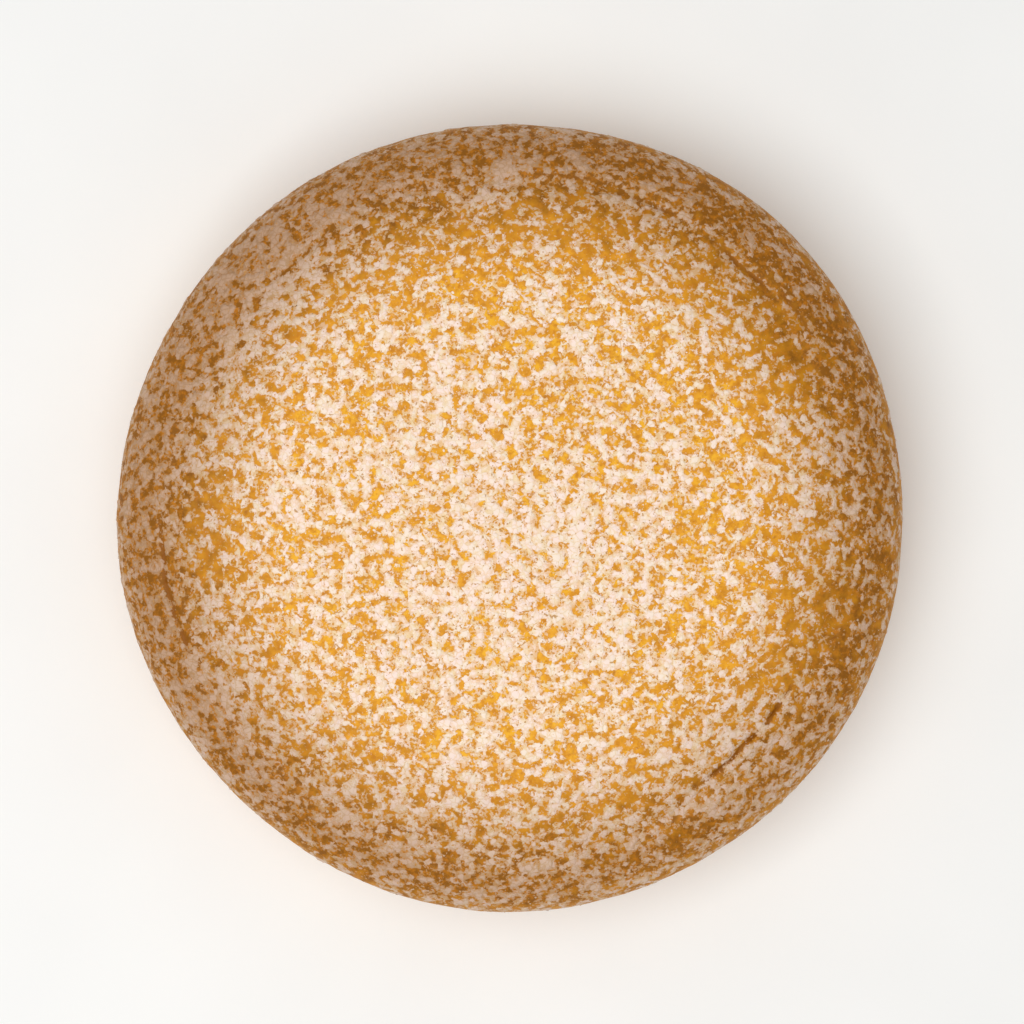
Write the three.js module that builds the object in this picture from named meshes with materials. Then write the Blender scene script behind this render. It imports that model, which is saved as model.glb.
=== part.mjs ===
// A victoria sponge cake: two round sponges with raspberry jam and buttercream between them.
// Frame: millimetres, +Z up, origin at the centre of the base that the cake rests on.
// Angles run anticlockwise from +X, seen from above.
import * as THREE from "three";
import { mergeVertices } from "three/addons/utils/BufferGeometryUtils.js";

// ---- driving dimensions ----
const CAKE_RADIUS = 79.2; // mean radius of both sponges
const OUT_OF_ROUND = 0.48; // how far each wave of their outlines wanders
const LOWER_HEIGHT = 19.5; // flat top of the lower sponge
const BASE_EDGE = 3.6; // rounded edge that the tin's corner leaves
const BASE_FULLNESS = 2.7; // power of that edge's curve: higher is squarer
const SIDE_ROUGHNESS = 0.25; // how far the lower sponge's baked side stands in or out
const LOWER_SHOULDER = 4; // rounded top edge of the lower sponge
const LAYER_GAP = 0.3; // clearance between one layer and the next

const JAM_THICKNESS = 2.2;
const JAM_EDGE = 0.9; // how far the jam runs past the sponge's flat top
const JAM_WANDER = 1.1; // and how far that varies
const JAM_LEAST = -2;
const JAM_MIDDLE = -10; // where the jam's even middle ends, measured as its edge is
const JAM_NOSE = 0.5; // how far its rounded edge stands out
const JAM_NOSE_HEIGHT = 0.4; // height of that edge, as a share of the thickness

const CREAM_THICKNESS = 4.8;
const CREAM_INSET = 2.4; // how far the buttercream's edge stays inside the sponges
const CREAM_EDGE = 4.4; // how far in its rounded edge starts
const CREAM_LOBES = 1.1; // how far the upper sponge presses that edge out in broad lobes
const CREAM_RIPPLES = 0.5; // and in smaller ones

const UPPER_WALL = 6.5; // upright side of the upper sponge, below its shoulder
const WALL_CORNER = 2; // height of the rounded corner below that side
const WALL_CORNER_INSET = 2.2;
const SHOULDER_RISE = 14; // height of the baked shoulder above that side
const SHOULDER_FULLNESS = 5; // power of the shoulder's curve: higher is squarer
const DOME_RISE = 1.8; // extra height in the middle of the baked top
const LIP_RADIUS = 67.2; // ring where the crust puckers before it turns down
const LIP_WANDER = 1.1;
const LIP_DEPTH = 0.4;
const LIP_WIDTH = 1.9;
const CROSSED_SWELL = 0.35; // broad swells that baking leaves, crossing the top both ways
const SLANTED_SWELL = 0.25; // and running slantwise over it
const COCKLE = 0.28; // finer waves, towards the edge only
const CREASE_WIDTH = 1.1;
const CREASE_FADE = 3; // degrees over which a crease's ends run out

// Creases pressed into the crust near its edge, each an arc about the cake's centre.
const creases = [
  { from: -53, to: -35, radius: 64.6, depth: 1.5 },
  { from: 184, to: 199, radius: 69.6, depth: 1.0 },
  { from: 63, to: 70, radius: 67.8, depth: 0.4 },
  { from: 44, to: 50, radius: 67.4, depth: 0.6 },
  { from: 35, to: 39, radius: 69.4, depth: 0.5 },
  { from: 2, to: 10, radius: 67.0, depth: 0.25 },
  { from: 77, to: 84, radius: 68.2, depth: 0.2 },
  { from: 252, to: 268, radius: 65.4, depth: 0.25 },
  { from: 126, to: 138, radius: 66.2, depth: 0.3 },
];

// Places where jam is squeezed out over the lower sponge's shoulder.
const jamDrips = [
  { at: -74, width: 9, length: 5.5 },
  { at: -38, width: 11, length: 3.5 },
  { at: 12, width: 8, length: 4.5 },
  { at: 58, width: 12, length: 3.5 },
  { at: 117, width: 9, length: 6.0 },
  { at: 171, width: 11, length: 4.0 },
  { at: 224, width: 8, length: 4.5 },
];

// How finely the solids are divided.
const UPPER_SEGMENTS = 112;
const LOWER_SEGMENTS = 96;
const SHOULDER_RINGS = 7;
const CREASE_RINGS = 11;
const MIDDLE_RINGS = 8;
const EDGE_STEPS = 3; // in a quarter turn of the base edge or of the buttercream's edge
const CREASES_FROM = 0.765; // share of the radius where the close rings for the creases start
const CREASES_TO = 0.9; // and end

// ---- heights worked out from them ----
const jamBase = LOWER_HEIGHT + LAYER_GAP;
const jamTop = jamBase + JAM_THICKNESS;
const creamBase = jamTop + LAYER_GAP;
const creamTop = creamBase + CREAM_THICKNESS;
const upperBase = creamTop + LAYER_GAP;
const shoulderStart = upperBase + UPPER_WALL;

// The lower sponge's shoulder is a quarter circle, taken in four steps from its flat top outwards.
const shoulderLength = (LOWER_SHOULDER * Math.PI) / 2;
const shoulderRuns = [0, 0.25, 0.5, 0.75, 1].map((share) => share * shoulderLength);

const span = (count, valueAt) => Array.from({ length: count }, (_, i) => valueAt(i));

// An uneven value between about -1 and 1 that closes round the cake: a sum of whole waves.
function ripple(angle, waves, phase) {
  let sum = 0;
  for (const n of waves) sum += Math.cos(n * angle + phase * n * n);
  return sum / Math.sqrt(waves.length);
}

// How far an angle lies outside an arc given in degrees, as degrees.
function degreesOutside(angle, from, to) {
  const middle = (from + to) / 2;
  const turned = THREE.MathUtils.radToDeg(angle) - middle;
  const away = Math.abs(turned - 360 * Math.round(turned / 360));
  return Math.max(0, away - (to - from) / 2);
}

const bell = (distance, width) => Math.exp(-((distance / width) ** 2));

const upperRadius = (angle) => CAKE_RADIUS + OUT_OF_ROUND * ripple(angle, [2, 3, 5], 1.1);
const lowerRadius = (angle) => CAKE_RADIUS + OUT_OF_ROUND * ripple(angle, [2, 4, 7], 2.3);

// Waves that baking leaves in the crust. The lengths are in millimetres to a radian.
function unevenness(radius, angle, share) {
  const x = radius * Math.cos(angle);
  const y = radius * Math.sin(angle);
  const crossed = CROSSED_SWELL * Math.cos(x / 9 + 0.7) * Math.cos(y / 11 - 0.4);
  const slanted = SLANTED_SWELL * Math.cos((x + y) / 7.5 + 2.1);
  const cockle = COCKLE * share ** 4 * ripple(angle, [11, 17, 23], 0.9) * Math.cos(radius / 2.6);
  return (crossed + slanted + cockle) * Math.sqrt(1 - share ** 8);
}

// Height of the crust of the upper sponge at a distance from its centre.
function crustHeight(radius, angle) {
  const share = Math.min(radius / upperRadius(angle), 1);
  const shoulder = SHOULDER_RISE * Math.sqrt(1 - share ** SHOULDER_FULLNESS);
  const dome = DOME_RISE * (1 - share ** 2);
  let height = shoulderStart + shoulder + dome + unevenness(radius, angle, share);
  const lip = LIP_RADIUS + LIP_WANDER * ripple(angle, [4, 7, 13], 0.5);
  const pucker = LIP_DEPTH * (1 + 0.5 * ripple(angle, [3, 5, 8], 1.7));
  height -= pucker * bell(radius - lip, LIP_WIDTH);
  for (const crease of creases) {
    const end = bell(degreesOutside(angle, crease.from, crease.to), CREASE_FADE);
    height -= crease.depth * end * bell(radius - crease.radius, CREASE_WIDTH);
  }
  return height;
}

// A closed solid of revolution whose rings are then moved, each point by itself: rings is a list of
// functions of the angle that give [radius, height], from the pole below to the pole above.
function unevenLathe(rings, segments) {
  const profile = rings.map((ring, i) => {
    const onAxis = i === 0 || i === rings.length - 1;
    return new THREE.Vector2(onAxis ? 0 : 1, i);
  });
  const geometry = new THREE.LatheGeometry(profile, segments);
  geometry.deleteAttribute("normal");
  geometry.deleteAttribute("uv");
  geometry.rotateX(Math.PI / 2);
  const place = geometry.getAttribute("position");
  for (let i = 0; i < place.count; i++) {
    const column = Math.floor(i / rings.length) % segments;
    const angle = (column / segments) * 2 * Math.PI;
    const [radius, height] = rings[i % rings.length](angle);
    place.setXYZ(i, radius * Math.cos(angle), radius * Math.sin(angle), height);
  }
  const closed = mergeVertices(geometry, 1e-4);
  closed.computeVertexNormals();
  return closed;
}

const pole = (height) => () => [0, height];

// A point on the lower sponge's top, run past the end of its flat by a length of arc, and then
// lifted off the surface.
function overShoulder(angle, run, lift) {
  const flatEnd = lowerRadius(angle) - LOWER_SHOULDER;
  const turn = THREE.MathUtils.clamp(run / LOWER_SHOULDER, 0, Math.PI / 2);
  const beyond = Math.max(0, run - shoulderLength);
  const reach = LOWER_SHOULDER + lift;
  return [
    flatEnd + Math.min(0, run) + reach * Math.sin(turn),
    LOWER_HEIGHT - LOWER_SHOULDER + reach * Math.cos(turn) - beyond,
  ];
}

function lowerSponge() {
  const power = 2 / BASE_FULLNESS;
  const baseEdge = (step) => (angle) => {
    const turn = ((step / EDGE_STEPS) * Math.PI) / 2;
    const inset = BASE_EDGE * (1 - Math.sin(turn) ** power);
    return [lowerRadius(angle) - inset, BASE_EDGE * (1 - Math.cos(turn) ** power)];
  };
  const side = (height) => (angle) => {
    const rough = SIDE_ROUGHNESS * ripple(angle, [9, 16, 25], height);
    return [lowerRadius(angle) + rough, height];
  };
  const shoulder = shoulderRuns.map((run) => (angle) => overShoulder(angle, run, 0)).reverse();
  return unevenLathe(
    [
      pole(0),
      ...span(EDGE_STEPS + 1, baseEdge),
      side(LOWER_HEIGHT * 0.38),
      side(LOWER_HEIGHT * 0.55),
      ...shoulder,
      pole(LOWER_HEIGHT),
    ],
    LOWER_SEGMENTS,
  );
}

function raspberryJam() {
  // How far the jam runs past the flat: a wandering edge, with a drip here and there.
  const edge = (angle) => {
    let run = JAM_EDGE + JAM_WANDER * ripple(angle, [5, 8, 13], 0.6);
    for (const drip of jamDrips) {
      run += drip.length * bell(degreesOutside(angle, drip.at, drip.at), drip.width);
    }
    return Math.max(run, JAM_LEAST);
  };
  // The underside follows the sponge's own breaks, and stops at the edge.
  const under = (run) => (angle) => overShoulder(angle, Math.min(run, edge(angle)), LAYER_GAP);
  // The upper side is full thickness again a few millimetres in from the nose.
  const over = (inward) => (angle) => {
    const fullness = JAM_NOSE_HEIGHT + (1 - JAM_NOSE_HEIGHT) * (1 - Math.exp(-(inward ** 0.8)));
    const run = edge(angle) + JAM_NOSE - inward;
    return overShoulder(angle, run, LAYER_GAP + JAM_THICKNESS * fullness);
  };
  const longestDrip = shoulderLength * 2;
  return unevenLathe(
    [
      pole(jamBase),
      under(JAM_MIDDLE),
      ...shoulderRuns.map(under),
      under(longestDrip),
      over(0),
      over(0.4),
      over(1.5),
      over(4),
      pole(jamTop),
    ],
    LOWER_SEGMENTS,
  );
}

function buttercream() {
  const reach = (angle) => {
    const lobes = CREAM_LOBES * ripple(angle, [4, 9, 14], 1.3);
    return CAKE_RADIUS - CREAM_INSET + lobes + CREAM_RIPPLES * ripple(angle, [21, 31], 0.4);
  };
  const edge = (step) => (angle) => {
    const turn = (((step - EDGE_STEPS) / EDGE_STEPS) * Math.PI) / 2;
    const inset = CREAM_EDGE * (1 - Math.cos(turn)) ** 1.4;
    return [reach(angle) - inset, creamBase + (CREAM_THICKNESS * (1 + Math.sin(turn))) / 2];
  };
  return unevenLathe([pole(creamBase), ...span(2 * EDGE_STEPS + 1, edge), pole(creamTop)], LOWER_SEGMENTS);
}

function upperSponge() {
  const wall = (rise) => (angle) => {
    const inset = WALL_CORNER_INSET * Math.max(0, 1 - rise / WALL_CORNER) ** 3;
    return [upperRadius(angle) - inset, upperBase + rise];
  };
  const crust = (share) => (angle) => {
    const radius = share * upperRadius(angle);
    return [radius, crustHeight(radius, angle)];
  };
  // Rings that crowd towards the steep rim, then rings close enough together to hold the creases,
  // then wider ones over the smooth middle.
  const shoulder = span(SHOULDER_RINGS, (i) => 1 - (1 - CREASES_TO) * (i / SHOULDER_RINGS) ** 1.5);
  const creased = span(CREASE_RINGS, (i) =>
    THREE.MathUtils.lerp(CREASES_TO, CREASES_FROM, i / (CREASE_RINGS - 1)),
  );
  const middle = span(MIDDLE_RINGS, (i) => CREASES_FROM * (1 - (i + 1) / (MIDDLE_RINGS + 1)));
  return unevenLathe(
    [
      pole(upperBase),
      wall(0),
      wall(WALL_CORNER * 0.25),
      wall(WALL_CORNER * 0.6),
      wall(WALL_CORNER * 2),
      ...[...shoulder, ...creased, ...middle].map(crust),
      pole(crustHeight(0, 0)),
    ],
    UPPER_SEGMENTS,
  );
}

// ---- materials ----
const goldenSponge = new THREE.MeshStandardMaterial({ color: 0xd9a24a, roughness: 0.85 });
const dustedCrust = new THREE.MeshStandardMaterial({ color: 0xe6bd84, roughness: 0.8 });
const redJam = new THREE.MeshStandardMaterial({ color: 0x8c1322, roughness: 0.2 });
const paleCream = new THREE.MeshStandardMaterial({ color: 0xf6ebd0, roughness: 0.55 });

function layer(name, geometry, material) {
  const mesh = new THREE.Mesh(geometry, material);
  mesh.name = name;
  return mesh;
}

const cake = new THREE.Group();
cake.name = "victoria_sponge_cake";
cake.add(
  layer("lower_sponge", lowerSponge(), goldenSponge),
  layer("raspberry_jam", raspberryJam(), redJam),
  layer("buttercream", buttercream(), paleCream),
  layer("upper_sponge", upperSponge(), dustedCrust),
);

// The outline is uneven, so the layers are moved together until it is centred on the origin.
const outline = new THREE.Box3().setFromObject(cake);
const middle = outline.getCenter(new THREE.Vector3());
for (const mesh of cake.children) mesh.position.set(-middle.x, -middle.y, 0);

export default cake;
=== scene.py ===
# The looks of a victoria sponge cake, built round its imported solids.
# Blender works in metres here. Shapes are worked out in millimetres and scaled once, in newPiece.
import math
import bpy
import numpy as np
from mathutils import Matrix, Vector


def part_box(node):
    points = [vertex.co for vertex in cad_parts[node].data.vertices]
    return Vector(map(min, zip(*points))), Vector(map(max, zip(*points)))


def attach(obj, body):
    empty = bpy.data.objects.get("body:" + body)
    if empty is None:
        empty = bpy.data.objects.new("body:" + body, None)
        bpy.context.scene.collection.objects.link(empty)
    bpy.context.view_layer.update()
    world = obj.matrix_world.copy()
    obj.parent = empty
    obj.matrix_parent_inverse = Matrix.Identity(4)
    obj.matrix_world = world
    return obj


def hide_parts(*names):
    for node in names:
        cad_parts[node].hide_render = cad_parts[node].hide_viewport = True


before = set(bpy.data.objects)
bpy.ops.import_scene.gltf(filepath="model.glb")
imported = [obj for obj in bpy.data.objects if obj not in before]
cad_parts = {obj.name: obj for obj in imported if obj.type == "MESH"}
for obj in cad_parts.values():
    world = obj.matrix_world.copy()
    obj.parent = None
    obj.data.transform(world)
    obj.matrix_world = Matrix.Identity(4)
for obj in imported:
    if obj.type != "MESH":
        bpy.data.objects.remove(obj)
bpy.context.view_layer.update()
print("frame loaded:", ", ".join(sorted(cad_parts)))

mm = 0.001  # one millimetre in metres
body = "root"
bakeMap = "OFBake"  # the UV map that a texture bake keeps
sharpAngle = 70  # degrees between two faces from which their edge stays sharp


def linearColour(hexCode):
    # sRGB hex to the linear red, green, blue and alpha that nodes take
    shades = [int(hexCode[i:i + 2], 16) / 255 for i in (1, 3, 5)]
    return (*(c / 12.92 if c < 0.04045 else ((c + 0.055) / 1.055) ** 2.4 for c in shades), 1.0)


def addNode(tree, kind, inputs=None, out=0, stops=(), **settings):
    # Adds a node, sets its options and its inputs, returns one output.
    # An input is given a value, a hex colour or the socket that feeds it.
    node = tree.nodes.new(kind)
    for name, value in settings.items():
        setattr(node, name, value)
    for i, (place, hexCode) in enumerate(stops):  # a colour ramp's stops, in rising order
        ramp = node.color_ramp.elements
        stop = ramp[i] if i < 2 else ramp.new(place)
        stop.position = place
        stop.color = linearColour(hexCode)
    for key, value in (inputs or {}).items():
        if isinstance(value, bpy.types.NodeSocket):
            tree.links.new(value, node.inputs[key])
        elif isinstance(value, str) and value.startswith("#"):
            node.inputs[key].default_value = linearColour(value)
        else:
            node.inputs[key].default_value = value
    return node.outputs[out] if len(node.outputs) else node


def newMaterial(name):
    # Returns the material, its node tree, and the place on the piece in millimetres.
    material = bpy.data.materials.new(name)
    material.use_nodes = True
    tree = material.node_tree
    tree.nodes.clear()
    here = addNode(tree, "ShaderNodeTexCoord", out="Object")
    place = addNode(tree, "ShaderNodeVectorMath", {0: here, "Scale": 1 / mm}, operation="SCALE")
    return material, tree, place


def endMaterial(material, finish):
    shader = addNode(material.node_tree, "ShaderNodeBsdfPrincipled", finish)
    addNode(material.node_tree, "ShaderNodeOutputMaterial", {0: shader})
    return material


def newTree(name, sizes):
    # A geometry node tree with one named number for each of its sizes. Returns it with its inputs.
    tree = bpy.data.node_groups.new(name, "GeometryNodeTree")
    tree.interface.new_socket("Geometry", in_out="INPUT", socket_type="NodeSocketGeometry")
    tree.interface.new_socket("Geometry", in_out="OUTPUT", socket_type="NodeSocketGeometry")
    for label, value in sizes.items():
        kind = "NodeSocketInt" if isinstance(value, int) else "NodeSocketFloat"
        tree.interface.new_socket(label, in_out="INPUT", socket_type=kind).default_value = value
    return tree, tree.nodes.new("NodeGroupInput").outputs


def endTree(tree, geometry, material):
    # Instances made real and the finish given, as every tree ends.
    whole = addNode(tree, "GeometryNodeRealizeInstances", {"Geometry": geometry})
    painted = addNode(tree, "GeometryNodeSetMaterial", {"Geometry": whole, "Material": material})
    addNode(tree, "NodeGroupOutput", {0: painted})


def applyTrees(piece, *steps):
    # Each step is a tree and the values of its inputs. The result is a plain mesh.
    for tree, values in steps:
        modifier = piece.modifiers.new(tree.name, "NODES")
        modifier.node_group = tree
        for item in tree.interface.items_tree:
            if item.in_out == "INPUT" and item.name in values:
                modifier[item.identifier] = values[item.name]
    bpy.context.scene.collection.objects.link(piece)
    graph = bpy.context.evaluated_depsgraph_get()
    result = bpy.data.meshes.new_from_object(
        piece.evaluated_get(graph), preserve_all_data_layers=True, depsgraph=graph)
    piece.modifiers.clear()
    piece.data = result
    result.name = piece.name
    result.shade_smooth()
    result.set_sharp_from_angle(angle=math.radians(sharpAngle))
    return piece


def newPiece(name, points, faces, faceMaps, measures):
    # points in millimetres; faceMaps holds each face corner's place on the bake map.
    mesh = bpy.data.meshes.new(name)
    mesh.from_pydata(((points + toFrame) * mm).tolist(), [], faces)
    corners = mesh.uv_layers.new(name=bakeMap).uv
    corners.foreach_set("vector", np.concatenate([m.reshape(-1) for m in faceMaps]).astype(np.float32))
    for label, values in measures.items():
        kind = "FLOAT" if values.ndim == 1 else "FLOAT_VECTOR"
        held = mesh.attributes.new(label, kind, "POINT").data
        held.foreach_set("value" if values.ndim == 1 else "vector", values.astype(np.float32).ravel())
    return bpy.data.objects.new(name, mesh)


def settle(piece, slot, *nodes):
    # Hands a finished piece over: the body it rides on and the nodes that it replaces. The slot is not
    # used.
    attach(piece, body)
    if nodes:
        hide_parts(*nodes)
    triangles = sum(len(p.vertices) - 2 for p in piece.data.polygons)
    print(piece.name, "made,", triangles, "triangles")
    return piece


# The cake's uneven round outline, as its solids have it. Angles are in radians, sizes in millimetres.
cake = {
    "radius": 79.2,  # mean radius of both sponges
    "outOfRound": 0.48,  # how far each wave of the outline wanders
    "columns": 960,  # points round the cake in the pieces below the crust
    "bakeBands": 4,
}


def ripple(angle, waves, phase):
    # an uneven value that closes round the cake: a sum of whole waves
    return sum(np.cos(n * angle + phase * n * n) for n in waves) / math.sqrt(len(waves))


def bell(distance, width):
    return np.exp(-((distance / width) ** 2))


def easeBetween(low, high, value):
    share = np.clip((value - low) / (high - low), 0, 1)
    return share * share * (3 - 2 * share)


def degreesOutside(angle, start, end):
    # how far an angle lies outside an arc given in degrees
    turned = np.degrees(angle) - (start + end) / 2
    away = np.abs(turned - 360 * np.round(turned / 360))
    return np.maximum(0, away - (end - start) / 2)


def upperRadius(angle):
    return cake["radius"] + cake["outOfRound"] * ripple(angle, (2, 3, 5), 1.1)


def lowerRadius(angle):
    return cake["radius"] + cake["outOfRound"] * ripple(angle, (2, 4, 7), 2.3)


def heightsOf(node):
    low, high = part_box(node)
    return low.z / mm, high.z / mm


def centreOf(outline, node):
    # how far the solids were moved over to centre their outline on the origin
    around = np.linspace(-np.pi, np.pi, 721)
    reach = outline(around) * np.stack([np.cos(around), np.sin(around)])
    low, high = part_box(node)
    middle = (np.array([low.x + high.x, low.y + high.y]) / mm - reach.max(1) - reach.min(1)) / 2
    return np.append(middle, 0)


lowerBase, lowerTop = heightsOf("lower_sponge")
jamBase, jamTop = heightsOf("raspberry_jam")
upperBase, crownTop = heightsOf("upper_sponge")
toFrame = centreOf(upperRadius, "upper_sponge")

# The crust of the upper sponge.
crust = {
    "wallHeight": 6.5,  # upright side below the shoulder
    "shoulderRise": 14.0,
    "shoulderFullness": 5,  # power of the shoulder's curve: higher is squarer
    "domeRise": 1.8,
    "swell": 0.35,  # height of the broad swells of the top
    "crossSwell": 0.25,
    "cockle": 0.28,  # height of the ripples near the rim
    "cockleSize": 2.6,
    "lipRadius": 67.2,  # ring where the crust puckers before it turns down
    "lipDepth": 0.4,
    "lipWidth": 1.9,
    "lipWander": 1.1,
    "creaseWidth": 0.6,
    "creaseWander": 0.22,
    "creaseUneven": 0.3,  # how much its depth varies on the way, as a share
    "creaseFade": 3.0,  # degrees over which a crease runs out
    "cornerInset": 2.2,  # rounded lower edge
    "cornerHeight": 2.0,
    "brownedAndShaded": 1.04,  # how brown and dark its rim is, on a scale from gold to deep brown: baking with painted shade
    "brownStart": 42.0,  # distance along the crust where it starts to brown and to darken with painted shade
    "brownEnd": 80.0,
    "shadeSide": 140,  # degrees round to the side darkest with painted shade
    "shadeSway": 0.14,
    "wallPaler": 0.6,  # how much less brown and shaded the wall is
    "palerStart": 73.0,
    "palerEnd": 86.0,
    "crumbStart": 82.0,  # distance along the crust where its skin gives way to the crumb of the side
    "crumbEnd": 91.0,
    "topEnd": 84.0,  # distance along the crust where its top has turned down into the wall
    "reliefRise": 0.8,  # height above its base over which its relief sets in
    "underRim": 5.0,  # width of the underside's own ring of faces
    "cells": 288,  # faces across the disc, about 0.6 mm each
}
creases = [  # start and end in degrees, radius, depth
    (-53, -35, 64.6, 1.5), (184, 199, 69.6, 1.0), (63, 70, 67.8, 0.4),
    (44, 50, 67.4, 0.6), (35, 39, 69.4, 0.5), (2, 10, 67.0, 0.25),
    (77, 84, 68.2, 0.2), (252, 268, 65.4, 0.25), (126, 138, 66.2, 0.3),
]
shoulderStart = upperBase + crust["wallHeight"]

# How thickly the icing sugar lies, as the share of the crust that it hides.
dusting = {
    "middle": 0.60,
    "loss": 0.29,  # how much less lies at the lip than in the middle
    "lossPower": 1.2,
    "lipRadius": 72.0,
    "wallLoss": 0.9,
    "wallStart": 82.0,  # distance along the crust where the sugar starts to run out
    "wallEnd": 93.0,
    "rimExtra": 0.14,  # more that has drifted to the rim on one side
    "rimSide": 165,  # degrees round to the middle of that side
    "rimStart": 62.0,
    "rimEnd": 72.0,
    "creaseLoss": 0.15,
    "coneSteps": ((0.65, 20, 60), (0.35, 68, 84)),  # slope gained, from where to where on the crust
    "speckExtra": 0.15,  # added to that share where loose specks are strewn
}
dustZones = [  # x, y, reach, and how much more of the crust is hidden there
    (-48, 48, 12, 0.22), (-58, 26, 9, 0.12), (-43, 3, 7, 0.20), (-54, -36, 15, 0.14),
    (4, -14, 20, 0.12), (50, 12, 9, 0.04), (46, -46, 13, 0.16), (-2, 68, 8, 0.16),
    (4, -63, 9, 0.14), (-17, -32, 7, 0.12), (-19, -58, 9, 0.18), (-9, 36, 8, 0.10),
    (48, -12, 7, 0.04),
    # and where it lies thinner
    (-10, 50, 11, -0.25), (13, 56, 11, -0.28), (42, 54, 12, -0.15), (57, 36, 13, -0.35),
    (10, 21, 11, -0.16), (31, 26, 8, -0.16), (61, -22, 12, -0.30), (-31, -24, 8, -0.10),
    (-64, -12, 8, -0.18), (-45, -9, 8, -0.14), (35, -34, 8, -0.12), (38, -3, 7, -0.16),
    (-20, 2, 7, -0.12), (9, -26, 6, -0.18), (9, -45, 6, -0.14), (-24, -47, 7, -0.14),
    (-29, 36, 7, -0.12), (-58, -2, 8, -0.10), (0, 40, 8, -0.08),
]


def creaseNear(radius, angle):
    # the depth of the crease that passes nearest, and how far off its bottom lies
    wander = crust["creaseWander"] * ripple(angle, (19, 31, 47), 0.8)
    uneven = 1 - crust["creaseUneven"] + crust["creaseUneven"] * ripple(angle, (23, 53, 71), 1.9)
    deepest = np.zeros_like(radius)
    away = np.full_like(radius, 9.0)  # far from any crease
    for start, end, middle, depth in creases:
        here = depth * uneven * bell(degreesOutside(angle, start, end), crust["creaseFade"])
        away = np.where(here > deepest, radius - middle - wander, away)
        deepest = np.maximum(deepest, here)
    return deepest, away


def creaseDepth(radius, angle):
    deepest, away = creaseNear(radius, angle)
    return deepest * bell(away, crust["creaseWidth"])


def crustHeight(radius, angle):
    share = np.minimum(radius / upperRadius(angle), 1)
    shoulder = crust["shoulderRise"] * np.sqrt(1 - share ** crust["shoulderFullness"])
    dome = crust["domeRise"] * (1 - share ** 2)
    x = radius * np.cos(angle)
    y = radius * np.sin(angle)
    swell = crust["swell"] * np.cos(x / 9 + 0.7) * np.cos(y / 11 - 0.4)
    swell += crust["crossSwell"] * np.cos((x + y) / 7.5 + 2.1)
    cockle = crust["cockle"] * share ** 4 * ripple(angle, (11, 17, 23), 0.9)
    cockle *= np.cos(radius / crust["cockleSize"])
    pucker = crust["lipDepth"] * (1 + 0.5 * ripple(angle, (3, 5, 8), 1.7))
    height = shoulderStart + shoulder + dome + (swell + cockle) * np.sqrt(1 - share ** 8)
    wander = crust["lipWander"] * ripple(angle, (4, 7, 13), 0.5)
    height -= pucker * bell(radius - crust["lipRadius"] - wander, crust["lipWidth"])
    return height - creaseDepth(radius, angle)


def crustPoint(way, angle):
    # way runs from 0 in the middle to 1 where the wall starts, and on to 2 at the base
    share = 1 - (1 - np.minimum(way, 1)) ** 3
    drop = np.maximum(way - 1, 0) * crust["wallHeight"]
    left = np.clip(1 - (crust["wallHeight"] - drop) / crust["cornerHeight"], 0, 1)
    radius = share * upperRadius(angle) - crust["cornerInset"] * left ** 3
    return radius, np.where(way < 1, crustHeight(radius, angle), shoulderStart - drop)


def lengthAlong(radius, height):
    steps = np.hypot(np.diff(radius), np.diff(height))
    return np.concatenate([[0], np.cumsum(steps)])


def crustMeasures(points, along, onTop):
    # What the trees and the finish read at each point, given its distance along the crust.
    x, y = points[:, 0], points[:, 1]
    angle = np.arctan2(y, x)
    spread = (np.minimum(along, crust["topEnd"]) / dusting["lipRadius"]) ** dusting["lossPower"]
    cover = dusting["middle"] - dusting["loss"] * spread
    for zoneX, zoneY, size, more in dustZones:
        cover += more * bell(np.hypot(x - zoneX, y - zoneY), size)
    cover -= dusting["wallLoss"] * easeBetween(dusting["wallStart"], dusting["wallEnd"], along)
    sideways = 0.5 + 0.5 * np.cos(angle - math.radians(dusting["rimSide"]))
    cover += dusting["rimExtra"] * sideways * easeBetween(dusting["rimStart"], dusting["rimEnd"], along)
    creased, creaseAway = creaseNear(np.hypot(x, y), angle)
    creased *= along < crust["topEnd"]
    cover -= dusting["creaseLoss"] * creased * bell(creaseAway, crust["creaseWidth"])
    # noise read on a cone of this height is drawn out round the cake near the rim, with no seam
    runs = np.linspace(0, along.max(), 500)
    slope = sum(gain * easeBetween(start, end, runs) for gain, start, end in dusting["coneSteps"])
    cone = np.interp(along, runs, np.concatenate([[0], np.cumsum(slope[1:] * np.diff(runs))]))
    # browner and darker towards the rim, partly baking and partly painted shade, and darker still on one
    # side, with painted shade
    sway = 1 + crust["shadeSway"] * np.cos(angle - math.radians(crust["shadeSide"]))
    brownedAndShaded = crust["brownedAndShaded"] * easeBetween(crust["brownStart"], crust["brownEnd"], along) * sway
    brownedAndShaded -= crust["wallPaler"] * easeBetween(crust["palerStart"], crust["palerEnd"], along)
    return {
        "dustPlace": np.stack([x, y, cone], 1),
        "dustCover": cover,
        "brownedAndShaded": brownedAndShaded,
        "creased": creased,
        "creaseAway": creaseAway,
        "relief": onTop * easeBetween(0, crust["reliefRise"], points[:, 2] - upperBase),
        "openCrumb": easeBetween(crust["crumbStart"], crust["crumbEnd"], along),
        "dusted": onTop * np.clip(cover + dusting["speckExtra"], 0, 1),
    }


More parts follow.
